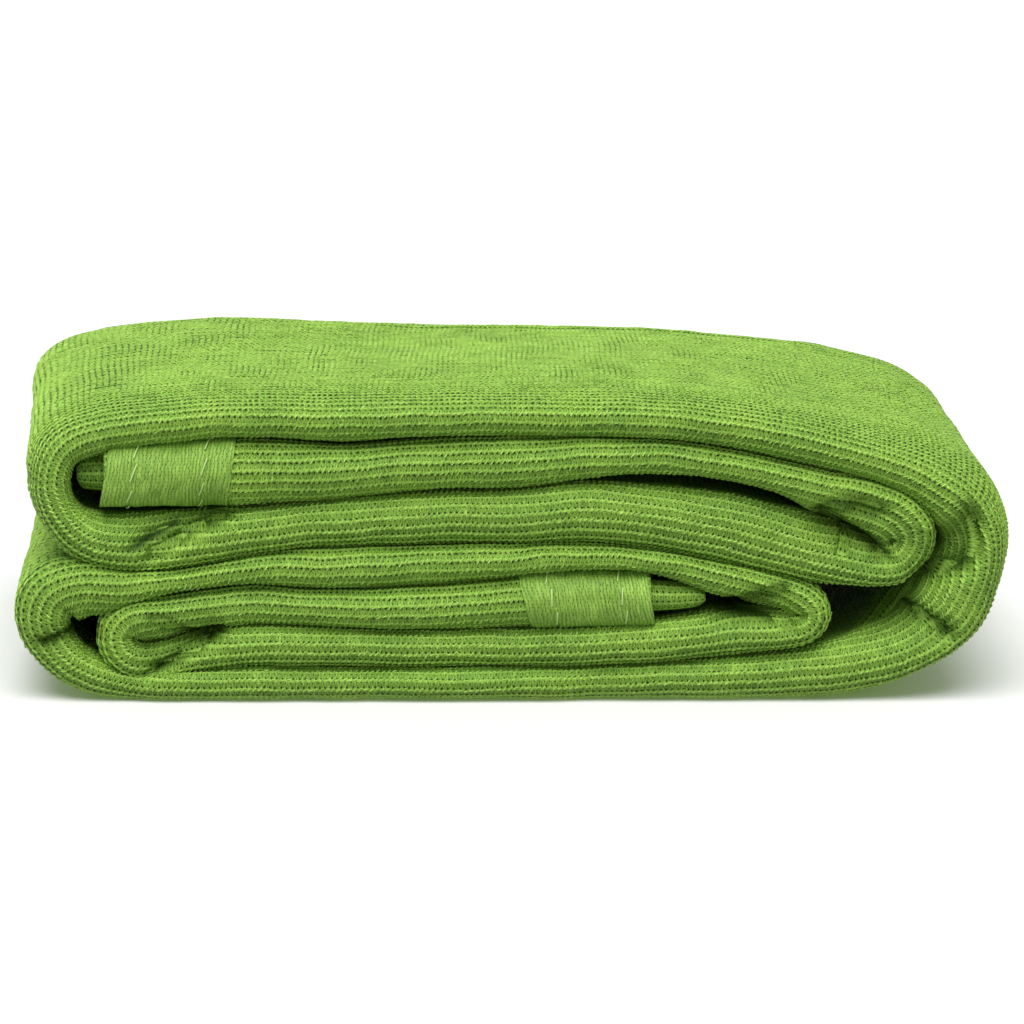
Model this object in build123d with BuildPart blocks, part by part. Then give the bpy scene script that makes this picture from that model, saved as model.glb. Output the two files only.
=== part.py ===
"""A knitted plastic net cloth, folded for storage: one long cloth, eight plies deep, laid in seven passes.

Frame: +X along the passes, +Y from the smooth front folds to the cloth's edges at the back, +Z up.
Origin: on the surface that the bundle lies on, under the middle of its box. Millimetres.

The folded cloth is one strip with round front and back folds, swept along the route of its passes. Pass 0
lies at the bottom and pass 6 on top. End A lies in pass 5 and end B in pass 2. A sewn band closes each end of
the cloth; folded with it, the band goes round the front of the strip, under two rows of stitches.
"""

import os

from build123d import *

# The bundle
bundle_length = 406.0
strip_depth = 250.0  # front folds to back folds
ply_count = 8  # the cloth is folded in half three times
ply_pitch = 2.06  # one ply and the air on it
pass_gap = 1.9  # air between one pass and the next

# Where the strip turns
lower_roll_inset = 72.0  # right end of the bundle to the lower roll's bend
upper_roll_inset = 28.0  # right end of the bundle to the upper roll's bend
upper_left_inset = 5.0  # how far the upper left bend lies inside the lower one
inner_left_clear = 12.0  # air between the inner lower bend and the bend round it
sag_run = 77.0  # how far before its right bend pass 4 starts down

# The ends of the strip
end_a_inset = 36.0  # left end of the bundle to end A
end_b_setback = 74.0  # end B to the lower roll's right bend
core_plies = 5  # inner plies that reach past the outermost one at an end
core_setback = 4.0  # how far their folds lie inside the outermost one
core_reach_a = 11.0
core_reach_b = 22.0

# The sewn bands
band_width = 52.0  # along the strip
band_thickness = 1.0
seam_inset = 11.5  # seam to the nearer edge of its band
stitch_length = 8.0
stitch_space = 2.5
thread_size = 0.5

# What follows from them
strip_thickness = ply_count * ply_pitch
half_strip = strip_thickness / 2
pitch = strip_thickness + pass_gap
half_length = bundle_length / 2
core_thickness = core_plies * ply_pitch
end_a = -half_length + end_a_inset
end_b = half_length - lower_roll_inset - end_b_setback


def level(number):
    """Height of a pass's middle, counted from the bottom pass, 0."""
    return half_strip + number * pitch


def make_route():
    """Corners of the strip's middle line between its ends, each as (x, z, bend radius)."""
    left_upper = -half_length + half_strip + upper_left_inset
    left_lower = -half_length + half_strip
    left_inner = left_lower + strip_thickness + inner_left_clear
    right_outer = half_length - half_strip
    right_upper = right_outer - upper_roll_inset
    right_lower = right_outer - lower_roll_inset
    near_round = 0.97  # a turn through two square corners keeps a short straight between its arcs
    upper_bend = 0.62 * pitch
    upper_low = level(4) - 1.5 * pitch
    upper_high = upper_low + 2.25 * upper_bend
    lower_bend = 0.57 * pitch
    gentle = 3.2 * pitch
    return [
        (right_upper - sag_run + 0.3 * pitch, level(5), gentle),
        (right_upper, upper_high, near_round * upper_bend),
        (right_upper, upper_low, near_round * upper_bend),
        (right_upper - sag_run, level(4), gentle),
        (left_upper, level(4), near_round * pitch),
        (left_upper, level(6), near_round * pitch),
        (right_upper - sag_run + 0.55 * pitch, level(6), gentle),
        (right_outer - pitch, level(6) - 1.2 * pitch, 2.2 * pitch),
        (right_outer, level(4) - 0.3 * pitch, 1.4 * pitch),
        (right_outer, level(3) - 0.3 * pitch, 1.4 * pitch),
        (right_outer - 0.9 * pitch, level(1), 1.6 * pitch),
        (right_outer - 2.9 * pitch, level(0), gentle),
        (left_lower, level(0), near_round * 1.5 * pitch),
        (left_lower, level(3), near_round * 1.5 * pitch),
        (right_lower - 2 * pitch, level(3), gentle / 2),
        (right_lower, level(1) + 2 * lower_bend, near_round * lower_bend),
        (right_lower, level(1), near_round * lower_bend),
        (left_inner, level(1), near_round * pitch / 2),
        (left_inner, level(2), near_round * pitch / 2),
    ]


def across(x, z):
    """A plane square to a level pass at x: its own X runs back along +Y, its own Y is up."""
    return Plane(origin=(x, 0, z), x_dir=(0, 1, 0), z_dir=(1, 0, 0))


def make_panel():
    """The folded cloth: the strip along its route, and the inner plies past each end."""
    corners = make_route()
    points = [(end_a, level(5))] + [(x, z) for x, z, _ in corners] + [(end_b, level(2))]
    with BuildPart() as panel:
        with BuildLine(Plane.XZ) as middle:
            FilletPolyline(*points, radius=[radius for _, _, radius in corners])
        with BuildSketch(across(end_a, level(5))) as section:
            SlotOverall(strip_depth, strip_thickness)
        sweep(path=middle.wire())
        length = middle.wire().length
        share = section.sketch.area * length / panel.part.volume
        print(f"strip {length:.0f} mm long, its section times its length is {share:.4f} of its volume")
        for x, z, reach in ((end_a, level(5), -core_reach_a), (end_b, level(2), core_reach_b)):
            with BuildSketch(across(x, z)):
                SlotOverall(strip_depth - 2 * core_setback, core_thickness)
            extrude(amount=reach)
    return panel


def make_band(start, z):
    """A sewn band round the front of the strip and along both its faces, open behind."""
    with BuildPart() as band:
        with BuildSketch(across(start, z)):
            SlotOverall(strip_depth + 2 * band_thickness, strip_thickness + 2 * band_thickness)
            SlotOverall(strip_depth, strip_thickness, mode=Mode.SUBTRACT)
            with Locations((strip_depth / 2, 0)):
                Rectangle(strip_thickness, 2 * strip_thickness, mode=Mode.SUBTRACT)
        extrude(amount=band_width)
    return band


def make_seam(x, z):
    """One row of stitches on a band: along both its faces, and three stitches round the front fold."""
    inner_depth = strip_depth + 2 * band_thickness
    inner_thickness = strip_thickness + 2 * band_thickness
    fold_centre = -strip_depth / 2 + half_strip
    face_end = strip_depth / 2 - half_strip
    stitch_pitch = stitch_length + stitch_space
    face_count = int((face_end - fold_centre) // stitch_pitch)
    with BuildPart() as seam:
        with BuildSketch(across(x - thread_size / 2, z)):
            SlotOverall(inner_depth + 2 * thread_size, inner_thickness + 2 * thread_size)
            SlotOverall(inner_depth, inner_thickness, mode=Mode.SUBTRACT)
            for number in range(face_count):
                with Locations((fold_centre + number * stitch_pitch, 0)):
                    Rectangle(stitch_space, 2 * inner_thickness, mode=Mode.SUBTRACT)
            last_gap = fold_centre + face_count * stitch_pitch - stitch_space / 2
            with Locations((last_gap, 0)):
                Rectangle(
                    strip_depth, 2 * inner_thickness, align=(Align.MIN, Align.CENTER), mode=Mode.SUBTRACT
                )
            for turn in (-30, 30):
                with Locations(Location((fold_centre, 0), turn)):
                    Rectangle(
                        inner_thickness, stitch_space, align=(Align.MAX, Align.CENTER), mode=Mode.SUBTRACT
                    )
        extrude(amount=thread_size)
    return seam


def save(name, piece):
    """Label a piece and write it as a STEP file."""
    piece.part.label = name
    export_step(piece.part, f"parts/{name}.step")


os.makedirs("parts", exist_ok=True)
save("net_panel", make_panel())

band_a_start = end_a
band_b_start = end_b - band_width
save("end_band_a", make_band(band_a_start, level(5)))
save("end_band_b", make_band(band_b_start, level(2)))

save("seam_a_outer", make_seam(band_a_start + seam_inset, level(5)))
save("seam_a_inner", make_seam(band_a_start + band_width - seam_inset, level(5)))
save("seam_b_outer", make_seam(band_b_start + band_width - seam_inset, level(2)))
save("seam_b_inner", make_seam(band_b_start + seam_inset, level(2)))
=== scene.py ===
import math
import time

import bpy
import numpy as np
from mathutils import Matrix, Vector


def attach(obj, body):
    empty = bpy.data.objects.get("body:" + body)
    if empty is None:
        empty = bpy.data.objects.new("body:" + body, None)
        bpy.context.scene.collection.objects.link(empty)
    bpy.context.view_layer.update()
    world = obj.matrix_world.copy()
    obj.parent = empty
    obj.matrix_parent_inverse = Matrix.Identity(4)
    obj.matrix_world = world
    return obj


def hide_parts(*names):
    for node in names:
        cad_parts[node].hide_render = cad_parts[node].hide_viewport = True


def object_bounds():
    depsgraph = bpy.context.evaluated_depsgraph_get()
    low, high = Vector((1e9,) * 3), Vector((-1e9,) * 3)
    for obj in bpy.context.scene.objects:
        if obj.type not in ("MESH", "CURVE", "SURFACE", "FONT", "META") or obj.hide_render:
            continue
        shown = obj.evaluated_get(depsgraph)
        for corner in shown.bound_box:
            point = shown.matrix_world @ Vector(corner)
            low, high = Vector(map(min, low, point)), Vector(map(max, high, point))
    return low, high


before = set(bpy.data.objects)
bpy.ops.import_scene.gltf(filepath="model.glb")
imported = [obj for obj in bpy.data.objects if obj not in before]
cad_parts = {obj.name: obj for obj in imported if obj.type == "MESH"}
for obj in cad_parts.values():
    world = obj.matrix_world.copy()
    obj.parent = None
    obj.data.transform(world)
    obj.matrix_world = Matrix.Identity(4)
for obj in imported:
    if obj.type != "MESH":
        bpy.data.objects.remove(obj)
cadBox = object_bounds()
startTime = time.time()
mm = 0.001


def report(stage):
    print(f"[{time.time() - startTime:6.1f} s] {stage}")


# The route of the folded strip, seen from the front. Each stop is the line of the front fold:
# (x, z, reach on the outer side, reach on the inner side), in millimetres from the middle of the base.
# The strip only ever turns clockwise, so its outer side is the same all the way.
stops = [
    # pass 5, from end A to the right
    (-167, 94, 12.5, 12.5), (-148, 94, 13.2, 13), (-125, 94.6, 14, 14), (-98, 95.6, 13.2, 13),
    (-70, 96, 10.5, 11.4), (-35, 98.6, 10.4, 10.2), (5, 100, 10.5, 10.4), (38, 102.4, 8.2, 8.2),
    (70, 101.8, 7.2, 7.2), (100, 96.8, 6.8, 6.8), (118, 92.4, 7, 8.5), (131, 89.2, 7, 13.5),
    (146, 86.8, 6.8, 17),
    # its bend round the right
    (161, 80.6, 7.6, 17.5), (168.8, 68.5, 7.8, 14), (163.5, 57.6, 7.4, 13.5), (149.5, 55, 7.4, 15),
    # pass 4, back to the left
    (132, 59, 10.5, 17.5), (110, 65, 12.5, 16), (88, 70.5, 12.8, 16), (60, 75.8, 12.2, 13.8),
    (30, 79, 12.2, 12.4), (-5, 77, 11, 10.8), (-40, 76, 10.6, 10.6), (-75, 74.2, 10, 9.8),
    (-105, 71, 9.8, 9.8), (-130, 66.8, 10.2, 11.5), (-152, 64, 10.3, 14),
    # its bend round end A
    (-172, 66.8, 10.2, 11.5), (-185, 77, 10, 7.6), (-189.6, 92, 10.6, 8.4), (-184.5, 106, 10.6, 8.6),
    # pass 6, the top
    (-168, 113, 9.8, 10), (-148, 115.8, 9.3, 9.6), (-125, 118, 8.9, 9), (-98, 118.8, 9, 8.9),
    (-70, 118, 10, 9.6), (-40, 119.2, 9, 8.6), (5, 119.4, 8.8, 8.8), (45, 119.2, 8.7, 8.7),
    (75, 117.4, 9, 9), (105, 112.6, 9.5, 9.6), (130, 106.8, 9.6, 9.7), (152, 100.6, 9.4, 9.6),
    # the wrap down the right side
    (172, 92.4, 12, 11.5), (188, 81.5, 14, 15), (194.3, 66, 14.6, 19), (191, 49, 12, 23),
    (184, 34, 10.4, 25), (169, 22.2, 9.4, 21), (148, 15.4, 10.8, 13),
    # pass 0, the bottom
    (125, 12.3, 11, 9.4), (90, 10.6, 9.9, 7.6), (50, 9, 8.5, 6.4), (5, 8.1, 7.7, 6.1),
    (-35, 7.7, 7.3, 6.1), (-75, 7.6, 7.3, 6.6), (-105, 7.6, 7.3, 6.8), (-135, 7.4, 7.1, 5.6),
    (-156, 8, 7.8, 4.6),
    # its bend round the lower left
    (-172, 11.8, 10.4, 4.6), (-186, 20.5, 11.6, 6), (-193.8, 33, 12.6, 10.5), (-190.5, 45, 12.6, 15),
    (-178, 49, 10.8, 15.5),
    # pass 3, to the right
    (-162, 48.2, 8.2, 11.5), (-145, 49.4, 5.8, 5.8), (-125, 52.2, 5.4, 5.3), (-105, 55.4, 6.7, 6.6),
    (-80, 55.8, 8.5, 8.4), (-45, 56.8, 8.5, 8.5), (-5, 58.8, 7.4, 7.3), (30, 60.8, 5.9, 5.8),
    (58, 58.8, 5.2, 5.2), (80, 54.4, 5.8, 8.6), (100, 49.6, 6.6, 10.5),
    # the lower roll's right bend
    (116, 45.4, 6.4, 9.4), (125, 38, 8, 9.4), (122, 30.6, 7.2, 9),
    # pass 1, to the left
    (107, 28.8, 8.2, 9), (88, 27.6, 9.2, 9.4), (60, 24.8, 8.7, 8.6), (30, 23, 8.4, 8.4),
    (-5, 22.1, 8.1, 8.1), (-45, 21.7, 8, 8), (-80, 22.8, 8.5, 8.5), (-110, 22.9, 8.9, 8.9),
    (-132, 19.4, 8.6, 8.4), (-150, 15.8, 8.2, 7.4),
    # the lower roll's left bend
    (-160.5, 18, 8.6, 8), (-165, 27.4, 9, 9.8), (-158.5, 34.8, 8, 11.4),
    # pass 2, to end B
    (-146, 36.4, 6.8, 11.5), (-128, 37.8, 8.4, 10), (-108, 40.3, 8.5, 8.6), (-82, 39.4, 8, 7.9),
    (-50, 38.9, 9, 9), (-20, 40, 10.1, 10.1), (8, 42, 11.1, 11.1), (34, 43, 11.7, 11.6),
    (57, 43, 11.2, 11.2),
]
route = {
    "spacing": 1.0,  # samples along the route
    "smooth": 3.5,
    "air": 0.35,  # left free between one pass and the next
}

cloth = {
    "plies": 8,
    "width": 2.0,
    "length": 2.45,
    "front": -125.0,
    "back": 125.0,
    "rowPitch": 4.1,  # one row of stitches to the next, across the strip
    "stitchPitch": 2.3,
    "rowShift": 0.12,  # every second row starts this share of a stitch later
    "frontDepth": 11.0,  # how far back the outermost fold reaches before the cloth lies flat
    "innerWrapDepth": 48.0,  # the same on the inner side of the wrap, which is pulled open
    "backDepth": 9.0,
    "thickness": 0.95,
}


def gaussian(values, sigma):
    reach = int(4 * sigma)
    kernel = np.exp(-0.5 * (np.arange(-reach, reach + 1) / sigma) ** 2)
    kernel /= kernel.sum()
    padded = np.concatenate([
        2 * values[:1] - values[reach:0:-1], values, 2 * values[-1:] - values[-2:-reach - 2:-1]
    ])
    return np.stack([np.convolve(padded[:, i], kernel, "valid") for i in range(values.shape[1])], 1)


def running(steps):
    return np.concatenate([[0], np.cumsum(steps)])


def distances(points):
    # how far along a line of points each of them is
    return running(np.linalg.norm(np.diff(points, axis=0), axis=1))


def evenly(first, last, step):
    return np.linspace(first, last, int(round((last - first) / step)) + 1)


def splinePoints(through, spacing):
    # centripetal Catmull-Rom through these points, sampled evenly along its length
    p = np.array(through, float)
    p = np.vstack([2 * p[0] - p[1], p, 2 * p[-1] - p[-2]])
    knots = running(np.linalg.norm(np.diff(p[:, :2], axis=0), axis=1) ** 0.5)
    found = []
    for i in range(1, len(p) - 2):
        t = np.linspace(knots[i], knots[i + 1], 60, endpoint=False)[:, None]
        t0, t1, t2, t3 = knots[i - 1:i + 3]
        a1 = (t1 - t) / (t1 - t0) * p[i - 1] + (t - t0) / (t1 - t0) * p[i]
        a2 = (t2 - t) / (t2 - t1) * p[i] + (t - t1) / (t2 - t1) * p[i + 1]
        a3 = (t3 - t) / (t3 - t2) * p[i + 1] + (t - t2) / (t3 - t2) * p[i + 2]
        b1 = (t2 - t) / (t2 - t0) * a1 + (t - t0) / (t2 - t0) * a2
        b2 = (t3 - t) / (t3 - t1) * a2 + (t - t1) / (t3 - t1) * a3
        found.append((t2 - t) / (t2 - t1) * b1 + (t - t1) / (t2 - t1) * b2)
    found.append(p[-2][None, :])
    found = np.vstack(found)
    along = distances(found[:, :2])
    even = np.linspace(0, along[-1], int(along[-1] / spacing) + 1)
    return np.stack([np.interp(even, along, found[:, i]) for i in range(found.shape[1])], 1)


def makeRoute():
    line = gaussian(splinePoints(stops, route["spacing"]), route["smooth"] / route["spacing"])
    along = distances(line[:, :2])
    tangent = gaussian(np.gradient(line[:, :2], axis=0), 1.5)
    tangent /= np.linalg.norm(tangent, axis=1)[:, None]
    angle = np.unwrap(np.arctan2(tangent[:, 1], tangent[:, 0]))
    bend = np.maximum(-np.gradient(angle, along), 1e-4)
    inner = np.minimum(line[:, 3], 0.9 / bend)  # the inner side never reaches past the middle of its bend
    inner = gaussian(inner[:, None], 2.5)[:, 0]
    return {
        "along": along,
        "x": line[:, 0],
        "z": line[:, 1],
        "outer": line[:, 2] - route["air"],
        "inner": inner - route["air"],
        "tangent": tangent,
        "angle": angle,
    }


path = makeRoute()
routeLength = path["along"][-1]
report(f"route {routeLength:.0f} mm long")


def placeOf(x, z):
    # how far along the route the point nearest to (x, z) is
    return path["along"][np.argmin(np.hypot(path["x"] - x, path["z"] - z))]


def smoothStep(low, high, value):
    t = np.clip((value - low) / (high - low), 0, 1)
    return t * t * (3 - 2 * t)


def ripple(a, b, seed, size, waves=7):
    # soft uneven waves, between about -1 and 1, with lengths near size
    rng = np.random.default_rng(seed)
    total = np.zeros(np.broadcast(a, b).shape)
    for _ in range(waves):
        turn = rng.uniform(0, math.tau)
        length = size * rng.uniform(0.6, 1.7)
        phase = rng.uniform(0, math.tau)
        total += np.sin((a * math.cos(turn) + b * math.sin(turn)) * math.tau / length + phase)
    return total / math.sqrt(waves) / 1.3


def ripples(a, b, waves):
    # several of them together, each given as (height, seed, length)
    return sum(height * ripple(a, b, seed, length) for height, seed, length in waves)


# How far back the fold runs before the cloth lies flat, where it isn't the usual depth:
# side, first place, last place, depth.
deepFolds = [
    ("outer", (-185, 77), (190, 49), 42.0),
    ("inner", (190, 78), (150, 15.6), cloth["innerWrapDepth"]),
    ("inner", (164, 59.5), (112, 64.5), 20.0),
    ("inner", (-150, 64), (-185, 77), 17.0),
]
deepRamp = (14, 18)  # each of them comes on over so much before its first place and after it


def foldDepth(side, s):
    before, after = deepRamp
    depth = cloth["frontDepth"] * (1 + 0.12 * ripple(s, 0 * s, 5 if side == "outer" else 6, 90))
    for which, first, last, deep in deepFolds:
        if which == side:
            begin, end = placeOf(*first), placeOf(*last)
            inside = smoothStep(begin - before, begin + after, s)
            inside = inside * (1 - smoothStep(end - after, end + before, s))
            depth = depth + (deep - depth) * inside
    return depth


def routeAt(s):
    at = {key: np.interp(s, path["along"], path[key]) for key in ("x", "z", "outer", "inner")}
    tx = np.interp(s, path["along"], path["tangent"][:, 0])
    tz = np.interp(s, path["along"], path["tangent"][:, 1])
    size = np.hypot(tx, tz)
    at["nx"] = -tz / size
    at["nz"] = tx / size
    at["front"] = cloth["front"] + 1.1 * ripple(s, 0 * s, 11, 130) + 0.5 * ripple(s, 0 * s, 12, 34)
    at["outerDepth"] = foldDepth("outer", s)
    at["innerDepth"] = foldDepth("inner", s)
    return at


def quarter(reach, depth, v):
    # across and back for each distance v round a fold's quarter, then straight on to the back
    t = np.linspace(0, math.pi / 2, 40)
    n = np.empty((len(reach), len(v)))
    y = np.empty((len(reach), len(v)))
    for i in range(len(reach)):
        across = reach[i] * np.sin(t) ** 0.92
        back = depth[i] * (1 - np.cos(t))
        length = running(np.hypot(np.diff(across), np.diff(back)))
        n[i] = np.interp(v, length, across)
        y[i] = np.interp(v, length, back) + np.maximum(v - length[-1], 0)
    return n, y


def offRoute(at, n, y, shift=0.0):
    # points so far across from the route and back from the front, and shifted along the strip
    x = at["x"][:, None] + at["nx"][:, None] * n + at["nz"][:, None] * shift
    z = at["z"][:, None] + at["nz"][:, None] * n - at["nx"][:, None] * shift
    return np.stack([x, y, z], -1)


def foldSurface(s, v, stand=0.0, slope=0.0):
    # the strip's outermost layer, or a sleeve that stands so far outside it and whose ends slope. s runs
    # along the strip, and v round the cloth from the front line, positive on the strip's outer side.
    at = routeAt(s)
    n = np.zeros((len(s), len(v)))
    y = np.zeros((len(s), len(v)))
    for side, sign, chosen in (("outer", 1, v >= 0), ("inner", -1, v < 0)):
        across, back = quarter(at[side] + stand, at[side + "Depth"] + stand, np.abs(v[chosen]))
        n[:, chosen] = across * sign
        y[:, chosen] = back - stand
    return offRoute(at, n, at["front"][:, None] + y, n * slope)


# Creases pulled into the front: points (x, z) of each, the depth and width of its groove, how far the
# cloth on its low side stays back along it, which side that is, going along it, and how wide it recovers.
creases = [
    ([(122, 82), (132.1, 78.5), (137.6, 74.3), (145.8, 70.1), (152.7, 63.9), (159, 57.5)],
     5.0, 2.0, 7.0, "right", 11),
    ([(137.6, 75), (137.4, 69.5), (134.9, 60.4)], 4.5, 2.0, 3.0, "left", 6),
    ([(122, 80), (131, 83), (140.3, 84.4), (148, 83.6), (157, 78.5)], 5.0, 2.2, 6.5, "right", 10),
    ([(184, 86), (190.6, 78.5), (191.6, 68.8), (190.6, 61.8), (185.6, 56.3), (173.2, 52.1), (160, 50.5)],
     6.5, 2.6, 7.0, "right", 15),
    ([(144, 46), (157, 42.5), (170, 36), (179, 31.5), (184, 24)], 6.5, 2.4, 8.0, "right", 11),
    ([(-155, 57.5), (-146, 61.5), (-136.5, 68), (-127.5, 73), (-112, 79.5)], 7.0, 2.0, 8.0, "left", 12),
    ([(-160, 62), (-148, 69), (-134, 76)], 2.5, 1.8, 2.0, "left", 6),
    ([(-152, 37), (-142, 33), (-133.8, 29), (-125.6, 29.5), (-117, 32)], 4.5, 1.8, 5.0, "right", 8),
    ([(-117, 31.6), (-124, 27.5), (-133.8, 20.2), (-146, 14), (-155, 9.5)], 6.5, 1.9, 6.5, "right", 9),
    ([(-200, 25), (-190, 28.2), (-181, 30.4), (-172, 36)], 4.5, 2.0, 5.0, "right", 9),
    ([(78, 40.6), (91, 42.4), (104.7, 46.5), (116, 49)], 5.0, 2.0, 7.0, "right", 8),
    ([(78, 38.6), (93.7, 36.1), (104.7, 34.7), (111.5, 32.6), (119, 28.8)], 4.5, 2.0, 5.0, "left", 8),
]
pinch = {
    "sample": 0.8,
    "smooth": 2.5,
    "reach": 3.2,  # of its spreads, beyond which a crease has no effect
    "fadeIn": (-0.02, 0.22),  # shares of its length
    "fadeOut": (0.78, 1.02),
    "softest": 2.2,  # half the least width of the step down to its low side
    "softShare": 0.27,  # of its spread, where that is more
    "groove": 1.3,  # of its width
    "lip": 0.7,
    "lipShare": 0.15,
    "lipWidth": 3.5,
    # painted shade of a crease: the width of its dark line along the groove, then how dark and how wide it is
    # on the low side
    "paintedShade": 1.9,
    "lowSidePaintedShade": 0.72,
    "lowSidePaintedShadeShare": 0.45,
    "shadeEnd": (0.1, 0.25),  # shares of the pile's depth
}


def creaseDepth(x, z):
    # how far back the creases take a point of the front, how it leans over them, and how much painted shade
    # it gets
    total, leanX, leanZ, shade = (np.zeros(x.shape) for _ in range(4))
    for points, depth, width, stayBack, lowSide, spread in creases:
        line = gaussian(splinePoints(points, pinch["sample"]), pinch["smooth"])
        reach = pinch["reach"] * spread
        near = (x > line[:, 0].min() - reach) & (x < line[:, 0].max() + reach)
        near &= (z > line[:, 1].min() - reach) & (z < line[:, 1].max() + reach)
        if not near.any():
            continue
        gapX = x[near][:, None] - line[:, 0]
        gapZ = z[near][:, None] - line[:, 1]
        gap = np.hypot(gapX, gapZ)
        closest = gap.argmin(1)
        each = np.arange(len(gap))
        nearest = gap[each, closest]
        tangent = np.gradient(line, axis=0)
        tangent /= np.hypot(tangent[:, 0], tangent[:, 1])[:, None]
        wayX, wayZ = tangent[closest, 1], -tangent[closest, 0]
        side = gapX[each, closest] * wayX + gapZ[each, closest] * wayZ
        place = closest / (len(line) - 1)
        fade = smoothStep(*pinch["fadeIn"], place) * (1 - smoothStep(*pinch["fadeOut"], place))
        fade = fade * (1 - smoothStep(0.8 * reach, reach, nearest))
        sign = 1 if lowSide == "right" else -1
        soft = max(pinch["softest"], pinch["softShare"] * spread)
        lowest = smoothStep(-soft, soft, side * sign)
        total[near] += fade * depth * np.exp(-(nearest / (pinch["groove"] * width)) ** 2)
        total[near] += fade * stayBack * np.exp(-(nearest / spread) ** 1.5) * lowest
        lip = fade * min(pinch["lip"], pinch["lipShare"] * stayBack)
        lip = lip * np.exp(-(nearest / pinch["lipWidth"]) ** 2) * (1 - lowest)
        leanX[near] += lip * wayX * sign
        leanZ[near] += lip * wayZ * sign
        # painted shade, dark along the groove and on the low side that stays back
        lowSidePaintedShade = pinch["lowSidePaintedShade"] * np.exp(-nearest / (pinch["lowSidePaintedShadeShare"] * spread)) * lowest
        paintedShade = np.maximum(np.exp(-(nearest / pinch["paintedShade"]) ** 2), lowSidePaintedShade)
        shade[near] = np.maximum(shade[near], fade * paintedShade)
    return total, leanX, leanZ, shade


def shareBack(y):
    return (y - cloth["front"]) / (cloth["back"] - cloth["front"])


def paintedCreaseShade(points):
    # the painted shade of the creases, fading out towards the back of the pile
    shade = creaseDepth(points[..., 0], points[..., 2])[3]
    return shade * (1 - smoothStep(*pinch["shadeEnd"], shareBack(points[..., 1])))


lean = {
    "leftBack": 20.0,  # the pile leans out to the left at its back
    "leftCorner": 11.0,  # and its top corner there is less round
    "rightBack": 8.0,
    "leftHump": (5.5, 138, 52),  # how much higher the back stands, the middle of that and its width
    "rightHump": (7.0, 85, 165),  # the same on the right, and from where to where it rises
    "wobble": 0.7,
    "leftLimit": -224.0,
    "floor": 1.1,
    "topGroove": (103.0, 2.6, 2.2),  # where a line is pulled in near the back of the top, its width and depth
}


def settle(points):
    # what handling and its own weight do to the whole pile, the same for every layer in it
    x, y, z = points[..., 0], points[..., 1], points[..., 2]
    depth = shareBack(y)
    front = 1 - smoothStep(0.05, 0.2, depth)
    lifted = smoothStep(2, 22, z)
    left = smoothStep(40, 190, -x) * smoothStep(0, 34, z)
    corner = smoothStep(110, 186, -x) * smoothStep(78, 112, z)
    right = smoothStep(90, 190, x) * smoothStep(70, 112, z)
    hump, middle, width = lean["leftHump"]
    raised = hump * np.exp(-((x + middle) / width) ** 2)
    hump, begin, end = lean["rightHump"]
    raised = raised + hump * smoothStep(begin, end, x)
    newX = x - depth * (lean["leftBack"] * left + lean["leftCorner"] * corner - lean["rightBack"] * right)
    newX = newX + lean["wobble"] * lifted * ripple(y, z, 21, 110)
    back, leanX, leanZ, _ = creaseDepth(x, z)
    newX = np.maximum(newX + leanX * front, lean["leftLimit"])
    newY = y + back * front
    newZ = z + lean["wobble"] * lifted * ripple(x, y, 22, 120) * (0.3 + 0.7 * depth)
    newZ = newZ + depth * smoothStep(85, 112, z) * raised + leanZ * front
    place, width, fall = lean["topGroove"]
    reach = smoothStep(-75, -30, x) * (1 - smoothStep(60, 125, x)) * smoothStep(85, 105, z)
    newZ = newZ - fall * reach * np.exp(-((y - place) / width) ** 2)
    return np.stack([newX, newY, np.maximum(newZ, lean["floor"])], -1)


def gridNormals(points):
    n = np.cross(np.gradient(points, axis=0), np.gradient(points, axis=1))
    return n / np.maximum(np.linalg.norm(n, axis=-1), 1e-9)[..., None]


grain = {
    "along": [(0.7, 35, 40), (0.3, 36, 11)],
    "across": [(0.42, 31, 70), (0.28, 34, 17)],
    "slack": [(0.5, 32, 26), (0.35, 33, 9)],
}
rib = {
    "height": 0.34,
    "ridge": 0.85,
    "groove": 0.6,
    "grooveAt": 1.3,  # beside the middle of the ridge
    "grooveDepth": 0.8,  # of the ridge's height
    "slack": 0.8,
    "swell": 0.35,
    "dip": 0.4,
}


def clothGrain(s, v):
    # how far the rows wander, as (along, across) in millimetres
    return ripples(s, v, grain["along"]), ripples(s, v, grain["across"])


def ribRelief(s, v):
    # a ridge for each row of stitches, a groove beside it, and the swell of each stitch along the row
    s, v = s[:, None], v[None, :]
    along, wander = clothGrain(s, v)
    row = (v + wander) / cloth["rowPitch"]
    phase = (row - np.floor(row) - 0.5) * cloth["rowPitch"]
    odd = np.mod(np.floor(row), 2)
    stitch = np.cos(((s + along) / cloth["stitchPitch"] + cloth["rowShift"] * odd) * math.tau)
    ridge = np.exp(-(phase / rib["ridge"]) ** 2) * (1 + rib["swell"] * stitch)
    groove = np.exp(-((phase + rib["grooveAt"]) / rib["groove"]) ** 2)
    groove = rib["grooveDepth"] * groove * (1 - rib["dip"] * stitch)
    return rib["height"] * (ridge - groove + rib["slack"] * ripples(s, v, grain["slack"]))


def addObject(name, data):
    made = bpy.data.objects.new(name, data)
    bpy.context.scene.collection.objects.link(made)
    return made


def fill(items, field, values, kind=np.float32):
    items.foreach_set(field, values.astype(kind).ravel())


def addValues(mesh, name, kind, field, values):
    # one value or vector for each point of the mesh
    fill(mesh.attributes.new(name, kind, "POINT").data, field, values)


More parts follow.
